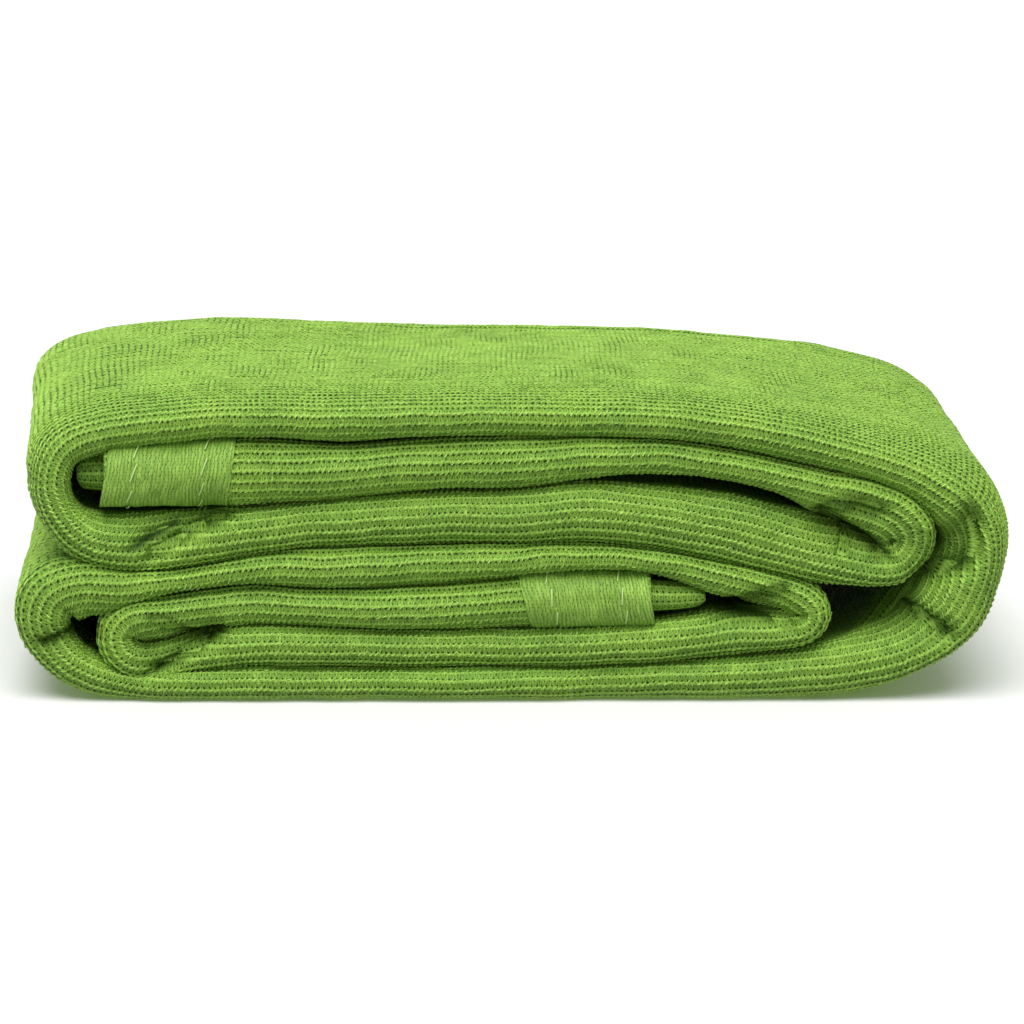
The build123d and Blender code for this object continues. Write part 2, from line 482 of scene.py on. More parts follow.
def makeMesh(name, points, corners, uv):
    mesh = bpy.data.meshes.new(name)
    mesh.vertices.add(len(points))
    fill(mesh.vertices, "co", points * mm)
    mesh.loops.add(corners.size)
    fill(mesh.loops, "vertex_index", corners, np.int32)
    mesh.polygons.add(len(corners))
    fill(mesh.polygons, "loop_start", np.arange(0, corners.size, 4), np.int32)
    fill(mesh.uv_layers.new(name="clothMap").data, "uv", uv[corners.ravel()] * mm)
    mesh.update(calc_edges=True)
    mesh.validate()
    mesh.shade_smooth()
    mesh.set_sharp_from_angle(angle=math.radians(72))
    return addObject(name, mesh)


def shellFrom(name, top, bottom, s, v, shade=None):
    # a closed shell of cloth between two grids over s and v, with its rim
    s, v = s[:, None], v[None, :]
    rows, columns = top.shape[:2]
    index = np.arange(rows * columns).reshape(rows, columns)
    a, b, c, d = index[:-1, :-1], index[1:, :-1], index[1:, 1:], index[:-1, 1:]
    upper = np.stack([a, b, c, d], -1).reshape(-1, 4)
    lower = upper[:, ::-1] + rows * columns
    edge = np.concatenate([index[0, :], index[1:, -1], index[-1, -2::-1], index[-2:0:-1, 0]])
    following = np.roll(edge, -1)
    rim = np.stack([edge, following, following + rows * columns, edge + rows * columns], -1)
    points = np.concatenate([top.reshape(-1, 3), bottom.reshape(-1, 3)])
    along, across = clothGrain(s, v)
    uv = np.stack(np.broadcast_arrays(s + along, v + across), -1).reshape(-1, 2)
    piece = makeMesh(name, points, np.concatenate([upper, lower, rim]), np.concatenate([uv, uv]))
    # the painted crease shade, kept as a value on each point
    shade = np.zeros((rows, columns)) if shade is None else shade
    addValues(piece.data, "creasePaintedShade", "FLOAT", "value", np.tile(shade.ravel(), 2))
    return piece


skin = {
    "across": 0.82,  # between two points across the rows
    "along": 1.15,
    "frontReach": 26.0,  # how far round the front fold the fine cloth goes on each side
    "topReach": 60.0,  # the same on the outer side of the top
    "thickness": 0.9,
    "ends": [  # where one stretch of cloth ends and the next begins
        (168, 71), (-189.6, 92), (168, 22.2), (-193.8, 33), (125, 38), (-165, 27.4),
    ],
    "names": [
        "upperCoreFold", "upperReturnFold", "topFold", "bottomFold", "middleFold", "lowerCoreFold",
        "lowerEndFold",
    ],
}


def layCloth(name, s, v, withPaintedShade):
    laid = foldSurface(s, v)
    # painted crease shade for each point, which the material mixes into the colour
    shade = paintedCreaseShade(laid) if withPaintedShade else np.zeros(laid.shape[:2])
    smooth = settle(laid)
    normal = gridNormals(smooth)
    top = smooth + normal * ribRelief(s, v)[..., None]
    piece = shellFrom(name, top, smooth - normal * skin["thickness"], s, v, shade)
    return {"piece": piece, "s": s, "v": v, "top": top, "normal": normal, "shade": shade[..., None]}


cuts = [0.0] + [placeOf(*end) for end in skin["ends"]] + [routeLength]
skins = []
for name, first, last in zip(skin["names"], cuts, cuts[1:]):
    outer = skin["topReach"] if name == "topFold" else skin["frontReach"]
    v = evenly(-skin["frontReach"], outer, skin["across"])
    skins.append(layCloth(name, evenly(first, last, skin["along"]), v, True))
report(f"front folds, {sum(len(p['piece'].data.polygons) for p in skins)} faces")

# The cloth that shows from the front folds to the back: name, first place, last place, start round the fold.
outerFaces = {
    "pieces": [
        ("upperTurnFace", (-165, 64.6), skin["ends"][1], skin["frontReach"]),
        ("topFace", skin["ends"][1], (160, 98), skin["topReach"]),
        ("wrapFace", (160, 98), skin["ends"][2], skin["topReach"]),
        ("underFace", skin["ends"][2], (148, 15.4), skin["frontReach"]),
        ("lowerTurnFace", (-150, 7.8), (-172, 48.8), skin["frontReach"]),
    ],
    "across": 1.025,
    "along": 2.3,
    "depth": 243.0,
}
faceSkins = []
for name, first, last, start in outerFaces["pieces"]:
    s = evenly(placeOf(*first), placeOf(*last), outerFaces["along"])
    v = evenly(start, outerFaces["depth"], outerFaces["across"])
    faceSkins.append(layCloth(name, s, v, False))
report("outer faces")

# The whole cloth, back and forth through the strip. Plies are counted from the inner side of the strip.
folds = {
    "inset": 1.25,  # under the fine cloth at the front
    "turn": 9.0,  # degrees from one sample of a bend to the next
    "step": 13.0,
    "frontLoops": {(1, 8): 0.0, (2, 7): 3.4, (3, 6): 6.6, (4, 5): 9.2},  # how far back each loop's tip lies
    "laidFrom": -112.0,  # where the inner plies have come out of their front loops
    "outerLaidFrom": 3.0,  # the same for the two outermost, behind the end of theirs
    "laidTo": 12.0,  # from the back, where they go into a back loop
    "innerLaidTo": 8.0,  # the same for the loop on the inner side
    "edgeBack": 5.0,
}


def plyShare(ply):
    return -1 + (ply - 1) * 2 / (cloth["plies"] - 1)


def clothLine(at, i, seed):
    # points (across the strip, from front to back) of one line of the cloth, from edge to edge
    outer = at["outer"][i] - folds["inset"]
    inner = at["inner"][i] - folds["inset"]
    back = cloth["back"] - folds["inset"]
    laid = folds["laidFrom"]
    turned = back - folds["laidTo"]
    innerTurned = back - folds["innerLaidTo"]

    def offset(ply):
        share = plyShare(ply)
        return share * (outer if share > 0 else inner)

    def loopDepth(ply, pair):
        full = at["outerDepth"][i] if plyShare(ply) > 0 else at["innerDepth"][i]
        share = abs(plyShare(ply))
        return max(2.0, full * (0.25 + 0.75 * share)) if pair != (1, 8) else full - folds["inset"]

    rng = np.random.default_rng(seed)
    edges = [back - folds["edgeBack"] * far - rng.uniform(0, 1.0) for far in (1.0, 1.6)]
    bends = np.radians(np.linspace(0, 90, 6))
    points = []

    def run(ply, start, end):
        for share in np.linspace(0, 1, 5)[1:-1]:
            points.append((offset(ply), start + (end - start) * share))

    def frontLoop(fromPly, toPly):
        pair = (min(fromPly, toPly), max(fromPly, toPly))
        tip = at["front"][i] + folds["inset"] + folds["frontLoops"][pair]
        for ply, angles in ((fromPly, bends[::-1]), (toPly, bends[1:])):
            depth = loopDepth(ply, pair)
            for angle in angles:
                points.append((offset(ply) * math.sin(angle), tip + depth * (1 - math.cos(angle))))

    def backLoop(fromPly, toPly, setBack):
        middle = (offset(fromPly) + offset(toPly)) / 2
        half = abs(offset(fromPly) - offset(toPly)) / 2
        depth = min(cloth["backDepth"], half * 1.25)
        sign = 1 if offset(fromPly) > middle else -1
        for angle in np.radians(np.linspace(0, 180, 9)):
            across = middle + sign * half * math.cos(angle)
            points.append((across, back - setBack - depth * (1 - math.sin(angle))))

    points.append((offset(3), edges[0]))
    run(3, edges[0], laid)
    frontLoop(3, 6)
    run(6, laid, turned)
    backLoop(6, 7, 2.6)
    run(7, turned, laid)
    frontLoop(7, 2)
    run(2, laid, innerTurned)
    backLoop(2, 1, 0.6)
    run(1, innerTurned, at["front"][i] + at["innerDepth"][i] + folds["outerLaidFrom"])
    frontLoop(1, 8)
    run(8, at["front"][i] + at["outerDepth"][i] + folds["outerLaidFrom"], turned)
    backLoop(8, 5, 0.0)
    run(5, turned, laid)
    frontLoop(5, 4)
    run(4, laid, edges[1])
    points.append((offset(4), edges[1]))
    return np.array(points)


def stepsAlong():
    # places along the route, closer together in its bends
    turning = np.abs(np.gradient(path["angle"], path["along"])) / math.radians(folds["turn"])
    cost = np.maximum(turning, 1 / folds["step"])
    total = running((cost[1:] + cost[:-1]) / 2 * np.diff(path["along"]))
    return np.interp(np.linspace(0, total[-1], int(total[-1]) + 2), total, path["along"])


def makeFolds():
    s = stepsAlong()
    at = routeAt(s)
    lines = np.stack([clothLine(at, i, 100 + i) for i in range(len(s))])
    middle = settle(offRoute(at, lines[..., 0], lines[..., 1]))
    steps = np.diff(lines, axis=1, prepend=lines[:, :1])
    v = np.cumsum(np.hypot(steps[..., 0], steps[..., 1]), axis=1).mean(axis=0)
    v = v - v[np.argmin(np.abs(v - v.mean()))]
    normal = gridNormals(middle)
    half = cloth["thickness"] / 2
    return shellFrom("netFolds", middle + normal * half, middle - normal * half, s, v)


netFolds = makeFolds()
report(f"folded cloth, {len(netFolds.data.polygons)} faces")

# The hems sewn over the strip's two ends, and the few plies that stick out of each.
hem = {
    "width": 52.0,
    "stand": 0.55,  # outside the strip's own cloth
    "thickness": 0.9,
    "across": 0.9,
    "along": 1.0,
    "frontReach": 30.0,  # how far round the front fold its points lie close together
    "backReach": 236.0,
    "backStep": 6.0,
    "weave": 0.035,
    "weavePitch": 1.5,
    "slack": [(0.35, 42, 24), (0.16, 43, 7)],
    "seamInset": 11.5,
    "seamReach": 232.0,
    "seamDepth": 0.45,
    "seamWidth": 1.3,
    "threadStand": 0.35,  # of the line of stitches, outside the sleeve's own surface
    "covered": 50.0,  # no chains are laid under it
}
hems = {
    "endA": {"node": "end_band_a", "name": "hemSleeveA", "start": 0.0, "slope": 0.18},
    "endB": {"node": "end_band_b", "name": "hemSleeveB", "start": routeLength - hem["width"], "slope": -0.17},
}


def makeHem(data):
    s = evenly(data["start"], data["start"] + hem["width"], hem["along"])
    fine, coarse = hem["frontReach"], hem["backStep"]
    v = np.concatenate([
        np.arange(-hem["backReach"], -fine, coarse),
        np.arange(-fine, fine + 0.01, hem["across"]),
        np.arange(fine + coarse, hem["backReach"] + 1, coarse),
    ])
    smooth = settle(foldSurface(s, v, hem["stand"], data["slope"]))
    normal = gridNormals(smooth)
    edge = np.minimum(s - s[0], s[-1] - s)[:, None]
    grid = s[:, None], v[None, :]
    weave = hem["weave"] * np.cos(grid[0] / hem["weavePitch"] * math.tau) * (1 + 0.3 * ripple(*grid, 41, 12))
    slack = ripples(*grid, hem["slack"]) * smoothStep(0, 3, edge)
    pulled = np.exp(-((edge - hem["seamInset"]) / hem["seamWidth"]) ** 2)
    raised = hem["thickness"] * 0.5 + weave + slack - hem["seamDepth"] * pulled
    return shellFrom(data["name"], smooth + normal * raised[..., None], smooth - normal * 0.3, s, v)


for data in hems.values():
    data["piece"] = makeHem(data)
report("hem sleeves")

rolledEnds = {
    "rolledEndA": {"from": 4.0, "reach": -11.0, "share": 0.72, "tip": 0.62, "setBack": 9.0},
    "rolledEndB": {"from": routeLength - 4.0, "reach": 22.5, "share": 0.62, "tip": 0.42, "setBack": 3.0},
}
roll = {
    "rings": 26,
    "turns": 2.5,
    "around": 96,
    "tighter": 0.27,  # of its radius at each turn
    "roundedFrom": 0.8,
    "frontDepth": 10.5,
    "backDepth": 46.0,
    "tipBack": 3.0,
    "half": 0.42,  # half the thickness of its cloth
}


def makeRolledEnd(name, data):
    # the inner plies going on past the hem, as a narrowing roll whose loops lie one inside another
    edge = 0.0 if data["reach"] < 0 else routeLength
    share = np.linspace(0, 1, roll["rings"])
    s = data["from"] + (edge + data["reach"] - data["from"]) * share
    onRoute = np.clip(s, 0.5, routeLength - 0.5)
    at = routeAt(onRoute)
    past = s - onRoute
    at["x"] = at["x"] + at["nz"] * past
    at["z"] = at["z"] - at["nx"] * past
    ending = np.clip((share - roll["roundedFrom"]) / (1 - roll["roundedFrom"]), 0, 1)
    rounding = np.sqrt(np.clip(1 - ending ** 2, 0.03, 1))
    narrow = (data["share"] + (data["tip"] - data["share"]) * share ** 1.4) * (0.35 + 0.65 * rounding)
    angle = np.linspace(0, math.tau * roll["turns"], roll["around"])
    radius = 1 - roll["tighter"] * angle / math.tau
    across = (radius * np.cos(angle))[None, :] * narrow[:, None]
    n = across * np.where(across > 0, at["outer"][:, None], at["inner"][:, None])
    front = (np.sin(angle) * radius)[None, :]
    depth = roll["frontDepth"]
    y = np.where(front > 0, (1 - front) * depth, depth - front * roll["backDepth"])
    y = at["front"][:, None] + data["setBack"] + roll["tipBack"] * share[:, None] ** 3 + y
    middle = settle(offRoute(at, n, y))
    around = distances(middle[0])
    normal = gridNormals(middle)
    if data["reach"] > 0:
        middle = middle[:, ::-1]
        normal = -normal[:, ::-1]
        around = around[::-1]
    thick = normal * roll["half"]
    return shellFrom(name, middle - thick, middle + thick, s, around)


ends = [makeRolledEnd(name, data) for name, data in rolledEnds.items()]
report("rolled ends")


# Materials
colours = {
    "light": (0.545, 0.83, 0.17),
    "middle": (0.312, 0.58, 0.072),
    # painted shade in the knit's gaps and holes and in the hem's dots
    "paintedShade": (0.05, 0.12, 0.008),
    "paintedHoleShade": (0.010, 0.026, 0.002),
    # painted shade, mixed in where the cloth is creased
    "creasePaintedShade": (0.022, 0.062, 0.004),
    "hemLight": (0.43, 0.70, 0.115),
    "hemMiddle": (0.215, 0.43, 0.055),
    "thread": (0.74, 0.90, 0.46),
}


class Value:
    # an output in a node tree, to reckon with as with a number
    def __init__(self, tree, socket):
        self.tree = tree
        self.socket = socket

    def __add__(self, other):
        return self.tree.math("ADD", self, other)

    def __sub__(self, other):
        return self.tree.math("SUBTRACT", self, other)

    def __rsub__(self, other):
        return self.tree.math("SUBTRACT", other, self)

    def __mul__(self, other):
        return self.tree.math("MULTIPLY", self, other)

    def __truediv__(self, other):
        return self.tree.math("DIVIDE", self, other)


class NodeTree:
    # a short way to write the nodes of a tree
    def __init__(self, tree):
        self.tree = tree

    def put(self, socket, value):
        if isinstance(value, Value):
            self.tree.links.new(value.socket, socket)
        else:
            socket.default_value = value

    def node(self, kind, inputs, output=0, **settings):
        made = self.tree.nodes.new(kind)
        for key, value in settings.items():
            setattr(made, key, value)
        for key, value in inputs.items():
            self.put(made.inputs[key], value)
        return Value(self, made.outputs[output])

    def math(self, operation, a, b=0.0, c=0.0, clamp=False):
        return self.node("ShaderNodeMath", {0: a, 1: b, 2: c}, operation=operation, use_clamp=clamp)

    def limited(self, a, b=1.0):
        # their product, kept between 0 and 1
        return self.math("MULTIPLY", a, b, clamp=True)


class Sheet(NodeTree):
    # the same for a material of the cloth
    def __init__(self, name):
        self.material = bpy.data.materials.new(name)
        self.material.use_nodes = True
        super().__init__(self.material.node_tree)
        self.shader = self.tree.nodes["Principled BSDF"]

    def give(self, label, value):
        self.put(self.shader.inputs[label], value)

    def bump(self, distance, width):
        # 1 where distance is 0, falling softly to 0 at width
        near = self.math("SUBTRACT", 1.0, self.math("ABSOLUTE", distance) / width, clamp=True)
        return self.math("SMOOTH_MIN", near * near, near, 0.2)

    def saw(self, value):
        # from -0.5 to 0.5 in each whole step
        return self.math("FRACT", value) - 0.5

    def odd(self, index):
        return self.math("FLOORED_MODULO", index, 2.0)

    def mix(self, a, b, share):
        a, b = (value if isinstance(value, Value) else (*value, 1.0) for value in (a, b))
        return self.node("ShaderNodeMix", {0: share, 6: a, 7: b}, 2, data_type="RGBA")

    def stretched(self, place, share):
        # drawn out across the rows, so that what is laid on it runs across them
        return self.node("ShaderNodeVectorMath", {0: place, 1: (1.0, share, 1.0)}, operation="MULTIPLY")

    def noise(self, place, scale, detail=2.0):
        return self.node("ShaderNodeTexNoise", {"Vector": place, "Scale": scale, "Detail": detail})

    def dyeWithPaintedShade(self, colour, value, hue=0.5):
        # the colour at this value and hue, with painted shade mixed in where the cloth is pinched into a
        # crease
        tone = self.node("ShaderNodeHueSaturation", {"Color": colour, "Value": value, "Hue": hue})
        shade = self.node("ShaderNodeAttribute", {}, "Fac", attribute_name="creasePaintedShade")
        self.give("Base Color", self.mix(tone, colours["creasePaintedShade"], self.limited(shade, 0.95)))

    def raiseBy(self, height, strength, distance):
        inputs = {"Height": height, "Strength": strength, "Distance": distance}
        self.give("Normal", self.node("ShaderNodeBump", inputs))

    def clothPlace(self):
        # distance along the strip and across the cloth, in millimetres
        uv = self.node("ShaderNodeUVMap", {}, uv_map="clothMap")
        along, across = (self.node("ShaderNodeSeparateXYZ", {0: uv}, k) for k in (0, 1))
        return uv, along * (1 / mm), across * (1 / mm)


def knittedCloth(name):
    sheet = Sheet(name)
    uv, u, v = sheet.clothPlace()
    slow = sheet.noise(uv, 28.0) - 0.5
    quick = sheet.noise(uv, 330.0, 3.0) - 0.5
    fine = sheet.noise(uv, 1500.0)
    uneven = sheet.noise(uv, 160.0, 3.0)
    uBent = u + quick * 1.3
    row = (v + quick * 0.9) / cloth["rowPitch"]
    rowIndex = sheet.math("FLOOR", row)
    across = (row - rowIndex - 0.5) * cloth["rowPitch"]
    stitch = uBent / cloth["stitchPitch"] + sheet.odd(rowIndex) * cloth["rowShift"]
    # the chain of loops along each row, swinging a little from side to side
    turns = stitch * math.tau
    offLine = across - sheet.math("SINE", turns) * 0.34
    beat = (sheet.math("COSINE", turns) * 0.42 + 0.52) * (uneven * 0.9 + 0.55)
    chain = sheet.bump(offLine, 0.72) * beat
    # holes on both sides of the chain, painted dark for the shade seen through them
    below = sheet.bump(across + 1.0, 0.88) * sheet.bump(sheet.saw(stitch) * cloth["stitchPitch"], 0.98)
    above = sheet.bump(across - 1.12, 0.5) * sheet.bump(sheet.saw(stitch + 0.5) * cloth["stitchPitch"], 0.7)
    holes = sheet.limited(sheet.math("MAXIMUM", below, above * 0.75), uneven * 1.3 + 0.45)
    # the tapes laid in between the rows, upright and a little slanted
    slant = uBent * (2 / cloth["stitchPitch"]) + across * 0.09 + quick * 1.9
    tapes = sheet.bump(sheet.saw(slant), 0.42)
    gaps = (1.0 - tapes) * (1.0 - sheet.bump(across, 1.5)) * (uneven + 0.25)
    streak = sheet.noise(sheet.stretched(uv, 0.14), 800.0) - 0.5
    speck = sheet.limited(sheet.noise(uv, 620.0) - 0.42, 3.0)
    pale = tapes * (speck * 0.62 + fine * 0.3)
    tone = sheet.mix(colours["middle"], colours["light"], sheet.limited(pale))
    tone = sheet.mix(tone, colours["light"], sheet.limited(chain))
    # the open gaps between tapes and the holes, painted dark as shade
    tone = sheet.mix(tone, colours["paintedShade"], sheet.limited(gaps, 0.8))
    tone = sheet.mix(tone, colours["paintedHoleShade"], sheet.limited(holes, 1.85))
    varied = slow * 0.62 + (fine * 0.16 + streak * 0.95)
    sheet.dyeWithPaintedShade(tone, varied + 0.92, slow * -0.03 + 0.5)
    sheet.raiseBy(chain * 0.55 + tapes * 0.22 + fine * 0.12 - holes * 0.8, 0.85, 0.0006)
    sheet.give("Roughness", uneven * 0.25 + 0.5)
    sheet.give("Specular IOR Level", 0.2)
    return sheet.material


def hemCloth(name):
    sheet = Sheet(name)
    uv, u, v = sheet.clothPlace()
    slow = sheet.noise(uv, 45.0) - 0.5
    quick = sheet.noise(uv, 380.0, 3.0) - 0.5
    fine = sheet.noise(uv, 1600.0)
    uneven = sheet.noise(uv, 200.0, 3.0)
    line = (u + (quick * 2.0 + slow * 2.0)) / hem["weavePitch"]
    lineIndex = sheet.math("FLOOR", line)
    phase = line - lineIndex - 0.5
    strand = sheet.bump(phase, 0.46)
    along = (v + quick * 1.4) / 2.7 + sheet.odd(lineIndex) * 0.5
    beside = sheet.bump(sheet.math("ABSOLUTE", phase) - 0.5, 0.36)
    dots = sheet.limited(beside * sheet.bump(sheet.saw(along), 0.36), uneven * 3.2)
    streak = sheet.noise(sheet.stretched(uv, 0.09), 1250.0)
    pale = sheet.math("SUBTRACT", streak * 2.6 + strand * 0.35, 1.0, clamp=True)
    tone = sheet.mix(colours["hemMiddle"], colours["hemLight"], pale)
    # the dots between strands, painted dark as shade
    tone = sheet.mix(tone, colours["paintedShade"], sheet.limited(dots, 1.1))
    sheet.dyeWithPaintedShade(tone, slow * 0.45 + quick * 0.35 + 0.95)
    height = strand * 0.25 + (streak * 0.7 + fine * 0.2)
    sheet.raiseBy(height - dots * 0.9, 0.8, 0.0004)
    sheet.give("Roughness", uneven * 0.25 + 0.42)
    sheet.give("Specular IOR Level", 0.28)
    return sheet.material


def sewingThread(name):
    sheet = Sheet(name)
    fibre = sheet.noise(sheet.node("ShaderNodeTexCoord", {}, "Object"), 2600.0)
    sheet.give("Base Color", sheet.mix(colours["light"], colours["thread"], fibre))
    sheet.raiseBy(fibre, 1.0, 0.0001)
    sheet.give("Roughness", 0.4)
    sheet.give("Specular IOR Level", 0.45)
    return sheet.material


def tapeStrand(name):
    sheet = Sheet(name)
    place = sheet.node("ShaderNodeTexCoord", {}, "Object")
    fine = sheet.noise(place, 900.0)
    slow = sheet.noise(place, 35.0)
    patch = sheet.noise(place, 310.0)
    pale = sheet.math("SUBTRACT", fine * 0.9 + patch * 2.4, 1.2, clamp=True)
    # with painted shade where the stroke crosses a crease
    sheet.dyeWithPaintedShade(sheet.mix(colours["middle"], colours["light"], pale), slow * 0.5 + 0.75)
    sheet.raiseBy(fine, 1.0, 0.0002)
    sheet.give("Roughness", fine * 0.2 + 0.34)
    sheet.give("Specular IOR Level", 0.4)
    return sheet.material


netMaterial = knittedCloth("knittedNet")
chainMaterial = tapeStrand("chainTape")
hemMaterial = hemCloth("hemWeave")
threadMaterial = sewingThread("hemThread")


def threadTree():
    # lays a run of separate stitches along an edge path whose points carry runLength, sideways and outward
    tree = bpy.data.node_groups.new("stitchRun", "GeometryNodeTree")
    face = tree.interface
    face.new_socket("Path", in_out="INPUT", socket_type="NodeSocketGeometry")
    for label in ("Stitch length", "Gap", "Slant", "Arch", "Thread size"):
        face.new_socket(label, in_out="INPUT", socket_type="NodeSocketFloat")
    face.new_socket("Sides", in_out="INPUT", socket_type="NodeSocketInt")
    face.new_socket("Thread", in_out="INPUT", socket_type="NodeSocketMaterial")
    face.new_socket("Stitches", in_out="OUTPUT", socket_type="NodeSocketGeometry")
    maker = NodeTree(tree)
    given = {output.name: Value(maker, output) for output in tree.nodes.new("NodeGroupInput").outputs}
    result = tree.nodes.new("NodeGroupOutput")

    def attribute(name, kind):
        made = tree.nodes.new("GeometryNodeInputNamedAttribute")
        made.data_type = kind
        made.inputs["Name"].default_value = name
        return Value(maker, next(o for o in made.outputs if o.enabled and o.name == "Attribute"))

    def scaled(name, amount):
        inputs = {0: attribute(name, "FLOAT_VECTOR"), "Scale": amount}
        return maker.node("ShaderNodeVectorMath", inputs, operation="SCALE")

    length = given["Stitch length"]
    phase = maker.math("FLOORED_MODULO", attribute("runLength", "FLOAT"), length + given["Gap"])
    inputs = {"Geometry": given["Path"], "Selection": maker.math("GREATER_THAN", phase, length)}
    cut = maker.node("GeometryNodeDeleteGeometry", inputs, domain="POINT")
    share = phase / length
    sideways = scaled("sideways", (share - 0.5) * given["Slant"])
    outward = scaled("outward", maker.math("SINE", share * math.pi) * given["Arch"])
    shift = maker.node("ShaderNodeVectorMath", {0: sideways, 1: outward})
    place = maker.node("GeometryNodeSetPosition", {"Geometry": cut, "Offset": shift})
    curve = maker.node("GeometryNodeMeshToCurve", {0: place})
    inputs = {"Resolution": given["Sides"], "Radius": given["Thread size"] * 0.5}
    ring = maker.node("GeometryNodeCurvePrimitiveCircle", inputs)
    inputs = {"Curve": curve, "Profile Curve": ring, "Fill Caps": True}
    real = maker.node("GeometryNodeRealizeInstances", {0: maker.node("GeometryNodeCurveToMesh", inputs)})
    finish = maker.node("GeometryNodeSetMaterial", {"Geometry": real, "Material": given["Thread"]})
    maker.put(result.inputs[0], finish)
    return tree


stitchTree = threadTree()


def stitchRuns(name, runs, sizes, material):
    # stitches along open paths. Each run is (points, sideways, outward, length, painted crease shade) for its
    # points, in millimetres, and length is the distance along its row.
    points, sideways, outward, lengths, shades = (np.concatenate(part) for part in zip(*runs))
    starts = running([len(run[0]) for run in runs]).astype(int)
    edges = np.concatenate([
        np.stack([np.arange(a, b - 1), np.arange(a + 1, b)], 1) for a, b in zip(starts[:-1], starts[1:])
    ])
    mesh = bpy.data.meshes.new(name + "Path")
    mesh.vertices.add(len(points))
    fill(mesh.vertices, "co", points * mm)
    mesh.edges.add(len(edges))
    fill(mesh.edges, "vertices", edges, np.int32)
    addValues(mesh, "runLength", "FLOAT", "value", lengths * mm)
    addValues(mesh, "sideways", "FLOAT_VECTOR", "vector", sideways)
    addValues(mesh, "outward", "FLOAT_VECTOR", "vector", outward)
    addValues(mesh, "creasePaintedShade", "FLOAT", "value", shades)
    mesh.update()
    holder = addObject(name + "Path", mesh)
    modifier = holder.modifiers.new("stitches", "NODES")
    modifier.node_group = stitchTree
    sockets = {item.name: item.identifier for item in stitchTree.interface.items_tree}
    for label, value in sizes.items():
        modifier[sockets[label]] = value
    modifier[sockets["Thread"]] = material
    evaluated = holder.evaluated_get(bpy.context.evaluated_depsgraph_get())
    made = bpy.data.meshes.new_from_object(evaluated)
    bpy.data.objects.remove(holder)
    for label in ("runLength", "sideways", "outward"):
        if label in made.attributes:
            made.attributes.remove(made.attributes[label])
    made.name = name
    made.shade_smooth()
    return addObject(name, made)


seam = {
    "Stitch length": 0.0078, "Gap": 0.0027, "Slant": 0.0017, "Arch": 0.0003, "Thread size": 0.00064,
    "Sides": 6,
}


def makeSeam(name, data, inset):
    middle = data["start"] + inset
    v = np.arange(-hem["seamReach"], hem["seamReach"] + 0.01, 1.0)
    around = np.array([middle - 1, middle, middle + 1])
    surface = settle(foldSurface(around, v, hem["stand"] + hem["threadStand"], data["slope"]))
    normal = gridNormals(surface)[1]
    sideways = surface[2] - surface[0]
    sideways /= np.linalg.norm(sideways, axis=1)[:, None]
    points = surface[1] + normal * 0.1
    run = (points, sideways, normal, distances(points), np.zeros(len(points)))
    return stitchRuns(name, [run], seam, threadMaterial)


farInset = hem["width"] - hem["seamInset"]
seams = {
    "seam_a_outer": makeSeam("seamAOuter", hems["endA"], hem["seamInset"]),
    "seam_a_inner": makeSeam("seamAInner", hems["endA"], farInset),
    "seam_b_outer": makeSeam("seamBOuter", hems["endB"], farInset),
    "seam_b_inner": makeSeam("seamBInner", hems["endB"], hem["seamInset"]),
}
report("stitches")

chain = {
    # the rows that carry one, counted from the front line to the strip's outer side
    "foldRows": (-5, 5),
    "turnFaceRows": (5, 58),
    "rows": {"topChains": (-5, 14), "topFaceChains": (14, 58), "wrapFaceChains": (14, 58)},
    "points": 5,  # of its path for each stitch
    "sizes": {
        "Stitch length": 0.0016, "Gap": 0.0007, "Slant": 0.0016, "Arch": 0.0002, "Thread size": 0.00074,
        "Sides": 3,
    },
    "lift": -0.06,
    "uneven": 0.24,
    "slants": (0.2, 1.8),  # the least and greatest share of the slant
    # strokes are left out where a crease's painted shade is deeper than this
    "hiddenAbove": 0.36,  # how shaded a crease may be where strokes still show
}


def sampleGrid(grid, s, v, atS, atV):
    # straight-line readings between the points of a grid over s and v
    i = np.clip((atS - s[0]) / (s[1] - s[0]), 0, len(s) - 1.001)
    j = np.clip((atV - v[0]) / (v[1] - v[0]), 0, len(v) - 1.001)
    i0, j0 = i.astype(int), j.astype(int)
    a, b = (i - i0)[..., None], (j - j0)[..., None]
    low = grid[i0, j0] * (1 - a) + grid[i0 + 1, j0] * a
    high = grid[i0, j0 + 1] * (1 - a) + grid[i0 + 1, j0 + 1] * a
    return low * (1 - b) + high * b


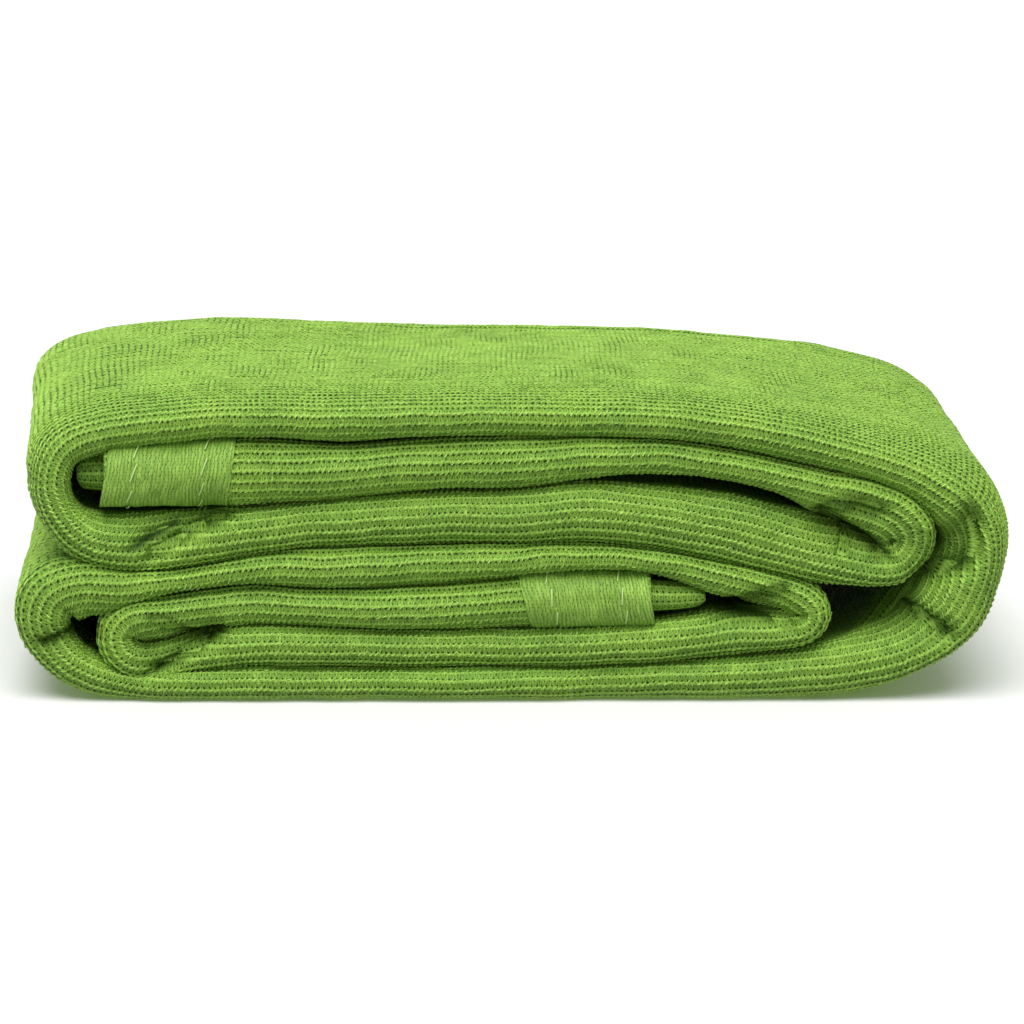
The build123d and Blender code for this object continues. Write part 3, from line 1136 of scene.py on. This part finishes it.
def makeChains(data):
    s, v, pitch, each = data["s"], data["v"], cloth["stitchPitch"], chain["points"]
    runs = []
    name = data["piece"].name.replace("Fold", "Chains").replace("Face", "FaceChains")
    usual = chain["turnFaceRows"] if "Face" in name else chain["foldRows"]
    begin = max(s[0], hem["covered"])
    end = min(s[-1], routeLength - hem["covered"])
    for k in range(*chain["rows"].get(name, usual)):
        target = (k + 0.5) * cloth["rowPitch"]
        offset = cloth["rowShift"] * (k % 2) * pitch
        first = math.ceil((begin + offset) / pitch)
        last = math.floor((end + offset) / pitch)
        count = (last - first) * each
        length = np.arange(count) * pitch / each
        atS = first * pitch + length - offset
        atV = np.full(count, target)
        for _ in range(2):
            atV = target - clothGrain(atS, atV)[1]
        points = sampleGrid(data["top"], s, v, atS, atV)
        sideways = sampleGrid(data["top"], s, v, atS, atV + 0.5) - points
        sideways /= np.linalg.norm(sideways, axis=1)[:, None]
        outward = sampleGrid(data["normal"], s, v, atS, atV)
        outward /= np.linalg.norm(outward, axis=1)[:, None]
        rng = np.random.default_rng(900 + k)
        uneven = np.repeat(rng.normal(0, chain["uneven"], last - first), each)
        points = points + outward * chain["lift"] + sideways * uneven[:, None]
        sideways = sideways * np.repeat(rng.uniform(*chain["slants"], last - first), each)[:, None]
        # the painted crease shade, carried onto the strokes
        shade = sampleGrid(data["shade"], s, v, atS, atV)[:, 0]
        clear = np.repeat(shade.reshape(-1, each).max(1) < chain["hiddenAbove"], each)
        for part in np.split(np.arange(count), np.flatnonzero(np.diff(clear)) + 1):
            if clear[part[0]]:
                runs.append((points[part], sideways[part], outward[part], length[part], shade[part]))
    return stitchRuns(name, runs, chain["sizes"], chainMaterial)


chains = [makeChains(data) for data in skins + faceSkins]
report(f"chains, {sum(len(p.data.polygons) for p in chains)} faces")

layers = [data["piece"] for data in skins + faceSkins]
for piece in layers + [netFolds] + ends:
    piece.data.materials.append(netMaterial)
for piece in layers + [netFolds] + ends + chains:
    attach(piece, "root")
for data in hems.values():
    data["piece"].data.materials.append(hemMaterial)
    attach(data["piece"], "root")
    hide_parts(data["node"])
for node, piece in seams.items():
    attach(piece, "root")
    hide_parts(node)
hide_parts("net_panel")
others = layers + ends + chains + [data["piece"] for data in hems.values()] + list(seams.values())

# Floor, lights and camera
studio = {
    "floor": 40.0,
    "floorTone": (0.95, 0.95, 0.95, 1),
    "world": 0.48,
    "sun": 2.6,
    "sunAngle": 50.0,
    "sunFrom": (-0.04, -0.46, 1.0),
    "view": 10.0,  # degrees above the level
    "distance": 1.5,
    "lens": 128.6,
    "sensor": 36.0,
    "nearest": 0.05,
    "aim": 0.0807,
}


def makeStage():
    half = studio["floor"]
    mesh = bpy.data.meshes.new("floor")
    corners = [(-half, -half, 0), (half, -half, 0), (half, half, 0), (-half, half, 0)]
    mesh.from_pydata(corners, [], [(0, 1, 2, 3)])
    pale = bpy.data.materials.new("paleFloor")
    pale.use_nodes = True
    shader = pale.node_tree.nodes["Principled BSDF"]
    shader.inputs["Base Color"].default_value = studio["floorTone"]
    shader.inputs["Roughness"].default_value = 0.9
    mesh.materials.append(pale)
    floor = addObject("floor", mesh)
    floor.visible_diffuse = False
    floor.visible_glossy = False
    world = bpy.data.worlds.new("studio")
    world.use_nodes = True
    background = world.node_tree.nodes["Background"]
    background.inputs["Color"].default_value = (1, 1, 1, 1)
    background.inputs["Strength"].default_value = studio["world"]
    bpy.context.scene.world = world
    bpy.context.scene.view_settings.view_transform = "Standard"


def makeSun():
    light = bpy.data.lights.new("softKey", "SUN")
    light.energy = studio["sun"]
    light.angle = math.radians(studio["sunAngle"])
    lamp = addObject("softKey", light)
    lamp.rotation_euler = Vector(studio["sunFrom"]).to_track_quat("Z", "Y").to_euler()


def makeCamera():
    aim = Vector((0, cadBox[0][1], studio["aim"]))
    angle = math.radians(studio["view"])
    camera = addObject("camera", bpy.data.cameras.new("camera"))
    camera.data.lens = studio["lens"]
    camera.data.sensor_width = studio["sensor"]
    camera.data.clip_start = studio["nearest"]
    camera.location = aim + studio["distance"] * Vector((0, -math.cos(angle), math.sin(angle)))
    camera.rotation_euler = (aim - camera.location).to_track_quat("-Z", "Y").to_euler()
    bpy.context.scene.camera = camera


makeStage()
makeSun()
makeCamera()
report("stage and camera")

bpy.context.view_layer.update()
report("done")
